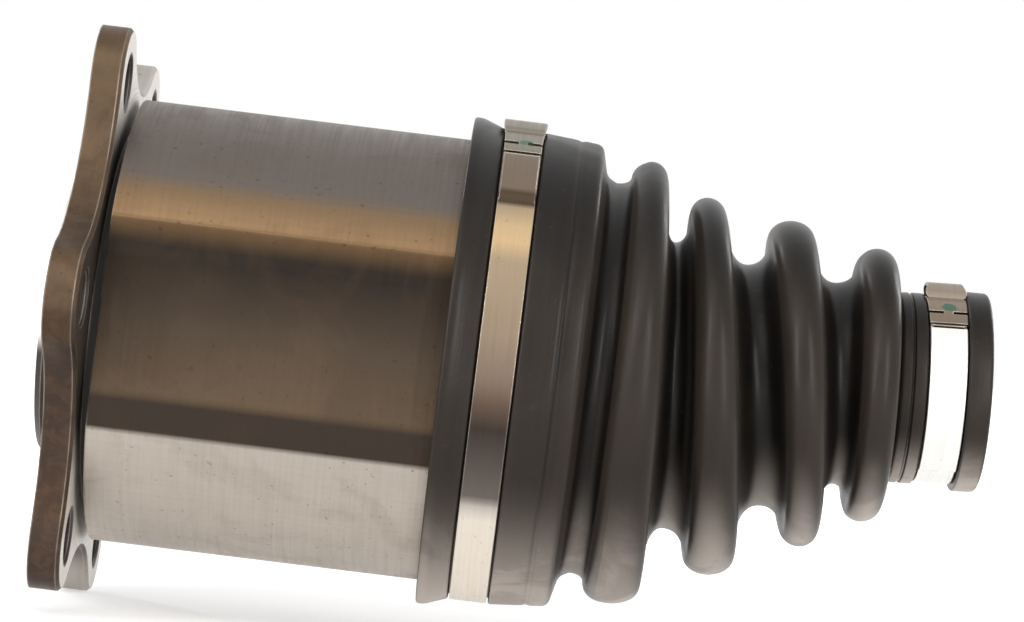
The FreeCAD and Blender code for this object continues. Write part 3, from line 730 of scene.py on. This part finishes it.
def fold_line(thinner, crest_steps, wall_steps):
    """(x, radius) from the first valley over the four crests to the last crest's far side."""
    points = [(FIRST_VALLEY[0], FIRST_VALLEY[1] - thinner)]
    for index, (x, radius, half) in enumerate(CRESTS):
        half -= 0.75 * thinner
        radius -= thinner
        side = radius - CREST_ROUND
        valley_x, valley_r = points[-1]
        leave = (valley_x + PULL * (x - half - valley_x), valley_r)
        arrive = (x - half, side - PULL * (side - valley_r))
        points += swept(points[-1], leave, arrive, (x - half, side), wall_steps)
        for step in range(1, crest_steps + 1):
            turn = math.pi * step / crest_steps
            points.append((x - half * math.cos(turn), side + CREST_ROUND * math.sin(turn)))
        if index < len(VALLEYS):
            valley_x, valley_r = VALLEYS[index]
            valley_r -= thinner
            leave = (x + half, side - PULL * (side - valley_r))
            arrive = (valley_x - PULL * (valley_x - x - half), valley_r)
            points += swept((x + half, side), leave, arrive, (valley_x, valley_r), wall_steps)
    return points


outer_folds = fold_line(0.0, 18, 9)
inner_folds = fold_line(WALL, 10, 6)
print("the folds have", len(outer_folds), "points outside and", len(inner_folds), "inside")

# %% [markdown]
# The large end has a lip, a groove that the clamp sits in and a shoulder with one
# fine crease. Inside it follows the tulip, which isn't round, so its inner radius is
# worked out for each angle. The small end has a ribbed collar, a groove and a lip,
# and its corners are counted along the tilted shaft.

# %% The boot's two ends
SEAT_GAP = 0.3
TULIP_R = 43.3
WAIST_DISTANCE = 39.5
WAIST_FLAT_HALF = 12.8
WAIST_HALF = 19.8
LIP_X = 71.9
SMALL_INNER_R = 13.5


def seat_radius(angle):
    """The boot's inner radius on the tulip, at an angle from +Y upwards."""
    third = math.radians(120.0)
    off = abs((angle - math.pi + third / 2.0) % third - third / 2.0)
    drop = math.sqrt(TULIP_R ** 2 - WAIST_HALF ** 2)
    slope = math.atan2(WAIST_DISTANCE - drop, WAIST_HALF - WAIST_FLAT_HALF)
    slope_distance = WAIST_FLAT_HALF * math.sin(slope) + WAIST_DISTANCE * math.cos(slope)
    flat = (WAIST_DISTANCE + SEAT_GAP) / math.cos(off)
    return min(TULIP_R + SEAT_GAP, flat, (slope_distance + SEAT_GAP) / math.cos(off - slope))


large_end = rounded_line([
    (LIP_X, 45.0, 0), (LIP_X, 47.8, 0.5), (73.4, 47.9, 1.0), (78.0, 46.2, 0.5),
    (78.0, 45.15, 0.2), (85.8, 45.15, 0.2), (85.8, 46.4, 0.7), (92.4, 45.84, 0.4),
    (93.1, 45.5, 0.4), (93.9, 45.74, 0.4), (97.4, 45.4, 1.3), (98.9, 39.4, 1.2),
    (*FIRST_VALLEY, 0),
])[:-1]
small_corners = [
    (102.64, 17.6, 0.5), (103.5, 18.6, 0.4), (105.2, 18.7, 0.2), (105.4, 18.3, 0.1),
    (105.7, 18.3, 0.1), (105.9, 18.7, 0.2), (108.24, 18.7, 0.5), (108.24, 17.05, 0.2),
    (116.04, 17.05, 0.2), (116.04, 19.6, 0.7), (120.7, 19.5, 0.9), (120.7, 15.0, 0),
]
small_corners = [(along_shaft(length), radius, cut) for length, radius, cut in small_corners]
small_end = rounded_line([(158.25, 22.0, 0), *small_corners])[1:]
outside = large_end + outer_folds + small_end
inside = [(LIP_X, seat_radius), (90.3, seat_radius), (90.35, 40.6), (95.4, 40.6), (97.9, 37.2)]
inside += inner_folds
inside += [(small_corners[0][0] - 1.2, SMALL_INNER_R), (small_corners[-1][0], SMALL_INNER_R)]
print("the boot has", len(outside), "rings outside and", len(inside), "inside")

# %% [markdown]
# The boot and the clamps are made from rings of points joined by faces, and shaded
# smooth but for their sharp edges.

# %% Meshes from rings
def join_rings(builder, rings, closed):
    """Faces between rings of points, with caps unless the rings close on themselves."""
    rings = [[builder.verts.new(point) for point in ring] for ring in rings]
    pairs = list(zip(rings[:-1], rings[1:]))
    if closed:
        pairs.append((rings[-1], rings[0]))
    for ring, after in pairs:
        for step in range(len(ring)):
            beside = (step + 1) % len(ring)
            builder.faces.new((ring[step], ring[beside], after[beside], after[step]))
    if not closed:
        builder.faces.new(rings[0])
        builder.faces.new(rings[-1])


def as_object(name, builder):
    """A new object from a mesh builder."""
    mesh = bpy.data.meshes.new(name)
    bmesh.ops.recalc_face_normals(builder, faces=builder.faces)
    builder.to_mesh(mesh)
    builder.free()
    return new_object(name, mesh)


def smooth(piece, degrees):
    """Shade a piece smooth, but for its edges over an angle."""
    mesh = piece.data
    mesh.polygons.foreach_set("use_smooth", [True] * len(mesh.polygons))
    mesh.set_sharp_from_angle(angle=math.radians(degrees))


print("mesh helpers ready")

# %% [markdown]
# The joint slides and swings in two directions, and a bending skin can follow only
# one joint. So the skin is cut into three pieces that meet edge to edge, named for the
# slide, the swing across and the swing up and down.
# A cut is placed by adding a ring exactly there.

# %% Cutting the boot
CUTS = (106.0, 118.5)
NEAR = 0.04


def at_x(line, x):
    """The radius of a line of plain numbers at x."""
    for (low, first), (high, second) in zip(line[:-1], line[1:]):
        if not callable(second) and not callable(first) and low <= x <= high and high > low:
            return first + (second - first) * (x - low) / (high - low)


def span(line, start, end):
    """The part of a line between two places, ended by rings exactly at them."""
    part = [point for point in line if (start is None or point[0] > start + NEAR)
            and (end is None or point[0] < end - NEAR)]
    if start is not None:
        part = [(start, at_x(line, start))] + part
    if end is not None:
        part = part + [(end, at_x(line, end))]
    return part


def boot_piece(name, start, end):
    """A closed piece of the boot's skin between two cuts."""
    line = span(outside, start, end) + span(inside, start, end)[::-1]
    builder = bmesh.new()
    join_rings(builder, [boot_ring(x, radius) for x, radius in line], True)
    piece = as_object(name, builder)
    smooth(piece, 50.0)
    return piece


boot_slide = boot_piece("boot_slide", None, CUTS[0])
boot_across = boot_piece("boot_across", *CUTS)
boot_up_down = boot_piece("boot_up_down", CUTS[1], None)
boot_pieces = (boot_slide, boot_across, boot_up_down)
print("boot faces", [len(piece.data.polygons) for piece in boot_pieces])

# %% [markdown]
# The rubber is nearly black with a brown cast, satin rather than glossy. Its skin has
# the fine grain of the mould. It is painted paler as a highlight where it bulges and
# darkest as shade in the hollows, which the renderer knows as the mesh's pointiness,
# and it is painted dark as shade where it faces up. The underside is painted pale as
# light from below.

# %% Boot rubber
rubber, tree, shader = new_material(
    "boot rubber", Specular_IOR_Level=0.19, Sheen_Weight=0.05, Sheen_Roughness=0.4,
    Sheen_Tint=linear((224, 214, 206)),
)
grain = use_group(tree, "fine lines", Stretch=(2600.0, 2600.0, 2600.0), Detail=2.0)["Value"]
bands = use_group(tree, "fine lines", Stretch=(420.0, 12.0, 12.0), Detail=2.0)["Value"]
patches = use_group(tree, "patches", Scale=45.0, Spread=0.6)
bulge = add(tree, "ShaderNodeNewGeometry").outputs["Pointiness"]
facing = facing_of(tree)["Z"]
# The underside is painted pale as light from below.
painted_light_below = maths(tree, "POWER", range_of(tree, facing, -0.3, -1.0), 2.0)
painted_light_below = product(tree, painted_light_below, range_of(tree, patches["Patch"], 0.0, 1.0, 1.0, 0.75))
tone = mixed(tree, bands, (32, 28, 24), (47, 40, 35))
tone = cover(tree, tone, patches["Patch"], (62, 52, 45), 0.25)
# Crests are painted paler as a highlight, and hollows darker as shade.
tone = cover(tree, tone, range_of(tree, bulge, 0.505, 0.516), (58, 51, 45), 0.5)
tone = cover(tree, tone, range_of(tree, bulge, 0.498, 0.488), (16, 14, 12), 0.8)
# Faces turned up are painted dark as shade.
tone = cover(tree, tone, range_of(tree, facing, 0.2, 0.9), (15, 12, 11))
tone = cover(tree, tone, painted_light_below, (208, 196, 186))
tone = cover(tree, tone, patches["Speck"], (104, 94, 84), 0.10)
roughness = maths(tree, "MULTIPLY_ADD", patches["Patch"], 0.08, 0.31)
relief = maths(tree, "ADD", product(tree, grain, 0.5), product(tree, bands, 1.4))
feed(tree, shader, Base_Color=tone, Roughness=roughness, Normal=bumped(tree, relief, 0.00002))
for piece in boot_pieces:
    piece.data.materials.append(rubber)
    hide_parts("boot")
print("material", rubber.name)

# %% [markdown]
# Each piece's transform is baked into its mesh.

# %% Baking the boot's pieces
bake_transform(boot_slide)
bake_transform(boot_across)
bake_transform(boot_up_down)

# %% [markdown]
# Each clamp is one strip of steel. It goes round the boot as a plain band, and above
# it lies a lapped end that hooks into it and carries the crimped ear. A strip is a
# small eight-sided section carried along a path of (distance from the top towards the
# near side, height over the band, width) points.

# %% Bending strips
BAND = 0.9
SHEET = 0.7
SOFT = 0.14
STRIP_STEP = 0.8


def place_on_shaft(point):
    """A point in millimetres in the spider's own tilted frame, in metres."""
    turned = Matrix.Rotation(-TILT, 3, "Y") @ Vector(point)
    return (turned + Vector((SPIDER_X, 0.0, 0.0))) * MM


def place_on_tulip(point):
    """A point in millimetres on the tulip's axis, in metres."""
    return Vector(point) * MM


def clamp_point(x, distance, radius, band_r, put):
    """A point over the band, at a distance round it from the top towards the near side."""
    angle = distance / band_r
    return put((x, -radius * math.sin(angle), radius * math.cos(angle)))


def section(width, thick):
    """The eight corners of a strip's section as (across, up)."""
    side, top = width / 2.0, thick / 2.0
    return [(side, SOFT - top), (side, top - SOFT), (side - SOFT, top), (SOFT - side, top),
            (-side, top - SOFT), (-side, SOFT - top), (SOFT - side, -top), (side - SOFT, -top)]


def bend_strip(builder, path, middle_x, band_r, put):
    """A strip along a path over the band."""
    line = []
    for first, second in zip(path[:-1], path[1:]):
        parts = max(1, int(abs(second[0] - first[0]) / STRIP_STEP))
        line += [Vector(first).lerp(Vector(second), part / parts) for part in range(parts)]
    line.append(Vector(path[-1]))
    flat = [Vector((point.x * (1.0 + point.y / band_r), point.y)) for point in line]
    rings = []
    for index, point in enumerate(line):
        ahead = flat[min(index + 1, len(flat) - 1)] - flat[max(index - 1, 0)]
        up = Vector((-ahead.y, ahead.x)).normalized()
        ring = []
        for across, lift in section(point.z, SHEET):
            distance = point.x + up.x * lift
            radius = band_r + point.y + up.y * lift
            ring.append(clamp_point(middle_x + across, distance, radius, band_r, put))
        rings.append(ring)
    join_rings(builder, rings, False)


print("strips are", SHEET, "mm thick")

# %% [markdown]
# The two slots beside the paint dot and the gap before the lapped end go right through
# to the dark rubber. They are cut with small blocks and the Boolean modifier, whose
# result is then made the mesh itself.

# %% Cutting slots
WIDTH = 7.2
SLOT = 2.7
PAST_EDGE = 5.0
GAP_HALF = 3.0
CUT_DEPTH = 2.0


def slots_and_gap(middle_x, slot_at, half, gap_from, gap_to):
    """The blocks for two slots from the sides and one gap across the middle."""
    edge = WIDTH / 2.0
    slot = (slot_at - half, slot_at + half)
    return [(middle_x - PAST_EDGE, middle_x - edge + SLOT, *slot),
            (middle_x + edge - SLOT, middle_x + PAST_EDGE, *slot),
            (middle_x - GAP_HALF, middle_x + GAP_HALF, gap_from, gap_to)]


def cut_blocks(target, blocks, band_r, put):
    """Cut blocks of (x from, x to, distance from, distance to) through a clamp."""
    builder = bmesh.new()
    for x_from, x_to, start, end in blocks:
        corners = ((x_from, -CUT_DEPTH), (x_to, -CUT_DEPTH), (x_to, CUT_DEPTH), (x_from, CUT_DEPTH))
        rings = []
        for distance in (start, (start + end) / 2.0, end):
            rings.append([clamp_point(x, distance, band_r + lift, band_r, put)
                          for x, lift in corners])
        join_rings(builder, rings, False)
    cutter = as_object("cutter", builder)
    modifier = target.modifiers.new("slots", "BOOLEAN")
    modifier.object = cutter
    modifier.solver = "EXACT"
    graph = bpy.context.evaluated_depsgraph_get()
    cut_mesh = bpy.data.meshes.new_from_object(target.evaluated_get(graph))
    target.modifiers.clear()
    target.data = cut_mesh
    bpy.data.objects.remove(cutter)


print("the slots are", SLOT, "mm deep in a strip of", WIDTH, "mm")

# %% [markdown]
# A clamp is put together from its band, its ear and its lapped end. The band and the
# ear are cut first, each by itself, because a Boolean works best on one closed form.

# %% Putting a clamp together
BAND_STEPS = 220


def build_clamp(name, band_r, middle_x, put, ear_path, tail_path, blocks, material):
    """One clamp: band, ear with its hook, and lapped end, in one mesh."""
    builder = bmesh.new()
    rings = []
    for step in range(BAND_STEPS):
        distance = math.tau * band_r * step / BAND_STEPS
        rings.append([
            clamp_point(middle_x + across, distance, band_r - BAND / 2.0 + lift, band_r, put)
            for across, lift in section(WIDTH, BAND)])
    join_rings(builder, rings, True)
    band = as_object(name + "_band", builder)
    builder = bmesh.new()
    bend_strip(builder, ear_path, middle_x, band_r, put)
    ear = as_object(name + "_ear", builder)
    for part in (band, ear):
        cut_blocks(part, blocks, band_r, put)
    builder = bmesh.new()
    bend_strip(builder, tail_path, middle_x, band_r, put)
    for part in (band, ear):
        builder.from_mesh(part.data)
        bpy.data.objects.remove(part)
    clamp = as_object(name, builder)
    smooth(clamp, 30.0)
    clamp.data.materials.append(material)
    print(name, "has", len(clamp.data.polygons), "faces")
    return clamp


print("a band has", BAND_STEPS, "sections")

# %% [markdown]
# On the large clamp the ear is low and wide, and the lapped end reaches well down the
# near side. On the small one the ear stands taller and is pinched at its foot.

# %% The two clamps
LARGE_R = 46.3
SMALL_R = 18.2
LARGE_X = 81.9
SMALL_X = 112.14
LIE = SHEET / 2.0 - 0.03
large_ear = rounded_line([
    (-4.0, -0.4, 6.8, 0), (-2.7, 0.1, 7.0, 0.3), (-2.3, 1.1, 7.3, 0.3), (-1.6, 1.6, 8.1, 0.4),
    (6.6, 1.6, 8.5, 0.8), (11.0, 1.0, 8.1, 0.4), (11.7, LIE, 7.7, 0.25), (13.5, LIE, 7.5, 0.4),
    (22.8, LIE, WIDTH, 0),
])
large_tail = [(24.3, LIE, 6.8), (35.8, LIE, 6.8), (38.9, -0.6, 7.0)]
small_ear = rounded_line([
    (-4.0, -0.4, 6.6, 0), (-2.6, 0.2, 6.8, 0.3), (-2.4, 1.8, 7.2, 0.4), (-1.6, 2.45, 6.9, 0.5),
    (2.4, 2.45, 6.9, 0.7), (4.6, 1.55, 8.1, 0.4), (5.2, 0.9, 7.9, 0.3), (5.5, 0.5, 6.8, 0.2),
    (6.3, LIE, 7.7, 0.3), (8.5, LIE, 7.7, 0.3), (14.5, LIE, 7.4, 0),
])
small_tail = [(15.8, LIE, WIDTH), (46.0, LIE, WIDTH)]
large_dot = clamp_point(LARGE_X + 0.4, 18.6, LARGE_R + SHEET, LARGE_R, place_on_tulip)
small_dot = clamp_point(SMALL_X + 0.3, 9.6, SMALL_R + SHEET, SMALL_R, place_on_shaft)
small_lift = place_on_shaft((SMALL_X, 0, 0)).z
large_steel = strip_steel("large clamp steel", large_stops, 0.0, large_dot, 0.0015)
small_steel = strip_steel("small clamp steel", small_stops, small_lift, small_dot, 0.0016)
large_clamp = build_clamp("large_clamp_strip", LARGE_R, LARGE_X, place_on_tulip, large_ear,
                          large_tail, slots_and_gap(LARGE_X, 19.0, 0.8, 23.0, 24.2), large_steel)
small_clamp = build_clamp("small_clamp_strip", SMALL_R, SMALL_X, place_on_shaft, small_ear,
                          small_tail, slots_and_gap(SMALL_X, 11.5, 0.45, 14.7, 15.6), small_steel)
for clamp, node, body in ((large_clamp, "large_clamp", "tulip"),
                          (small_clamp, "small_clamp", "shaft")):
    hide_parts(node)
    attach(clamp, body)

# %% [markdown]
# The shaft end lies on a plain pale floor. What the camera and the steel see of the
# floor and the world is white, and the light that falls on the object is kept apart
# from it, at a plain level. The floor has its own shading with a little glow added to
# it for those rays only, so it is white where it is lit and keeps the object's shadow.
# The glow grows with distance, so the floor ends without a line against the world.

# %% Floor and world
FLOOR_HALF = 12.0
floor_z = cad_box[0].z - 0.0003


def seen_directly(tree):
    """1 for rays from the camera and for rays that a surface mirrors or lets through."""
    path = add(tree, "ShaderNodeLightPath").outputs
    seen = maths(tree, "MAXIMUM", path["Is Camera Ray"], path["Is Glossy Ray"])
    return maths(tree, "MAXIMUM", seen, path["Is Transmission Ray"])


sides = ((-1, -1), (1, -1), (1, 1), (-1, 1))
corners = [(FLOOR_HALF * x, FLOOR_HALF * y, floor_z) for x, y in sides]
floor_mesh = bpy.data.meshes.new("floor")
floor_mesh.from_pydata(corners, [], [(0, 1, 2, 3)])
floor = new_object("floor", floor_mesh)
floor_material, tree, shader = new_material(
    "pale floor", Base_Color=linear((232, 232, 232)), Roughness=0.9, Specular_IOR_Level=0.1
)
away = add(tree, "ShaderNodeVectorMath", {0: place_of(tree)}, operation="LENGTH").outputs["Value"]
strength = range_of(tree, away, 0.2, 0.5, 0.45, 1.0)
glow = add(tree, "ShaderNodeEmission", {"Color": (1, 1, 1, 1), "Strength": strength})
dark = add(tree, "ShaderNodeEmission", {"Color": (0, 0, 0, 1), "Strength": 0.0})
seen_glow = add(tree, "ShaderNodeMixShader",
                {0: seen_directly(tree), 1: dark.outputs[0], 2: glow.outputs[0]})
both = add(tree, "ShaderNodeAddShader", {0: shader.outputs[0], 1: seen_glow.outputs[0]})
output = next(node for node in tree.nodes if node.type == "OUTPUT_MATERIAL")
tree.links.new(both.outputs[0], output.inputs["Surface"])
floor_mesh.materials.append(floor_material)

world = bpy.data.worlds.new("pale room")
world.use_nodes = True
scene.world = world
tree = world.node_tree
light = tree.nodes["Background"]
light.inputs["Color"].default_value = (1.0, 0.99, 0.97, 1.0)
light.inputs["Strength"].default_value = 0.55
white = add(tree, "ShaderNodeBackground", {"Color": (1, 1, 1, 1), "Strength": 1.0})
both = add(tree, "ShaderNodeMixShader",
           {0: seen_directly(tree), 1: light.outputs[0], 2: white.outputs[0]})
tree.links.new(both.outputs[0], tree.nodes["World Output"].inputs["Surface"])
print("floor at", round(floor_z, 4))

# %% [markdown]
# Five soft lamps do the rest: a large one above on the left, and four tall strips in
# front and behind, each of which draws a line of light down every fold.

# %% Lamps
MIDDLE = Vector((0.085, 0.0, 0.0))


def soft_lamp(name, place, width, height, power, colour):
    """A rectangular lamp that faces the middle of the object."""
    lamp = bpy.data.lights.new(name, "AREA")
    lamp.shape = "RECTANGLE"
    lamp.size, lamp.size_y = width, height
    lamp.energy = power
    lamp.color = colour
    holder = new_object(name, lamp)
    holder.location = place
    holder.rotation_euler = (MIDDLE - Vector(place)).to_track_quat("-Z", "Y").to_euler()


soft_lamp("key_lamp", (-0.40, -0.85, 0.95), 0.9, 0.9, 2.8, (1.0, 0.98, 0.95))
strips = {
    "left_strip": (-0.46, -0.64, 0.25), "right_strip": (0.50, -0.75, 0.25),
    "back_left_strip": (-0.60, 0.62, 0.32), "back_right_strip": (0.77, 0.62, 0.32),
}
for name, place in strips.items():
    soft_lamp(name, place, 0.035, 0.65, 2.2, (1.0, 1.0, 1.0))
scene.view_settings.view_transform = "Standard"
print(1 + len(strips), "lamps")
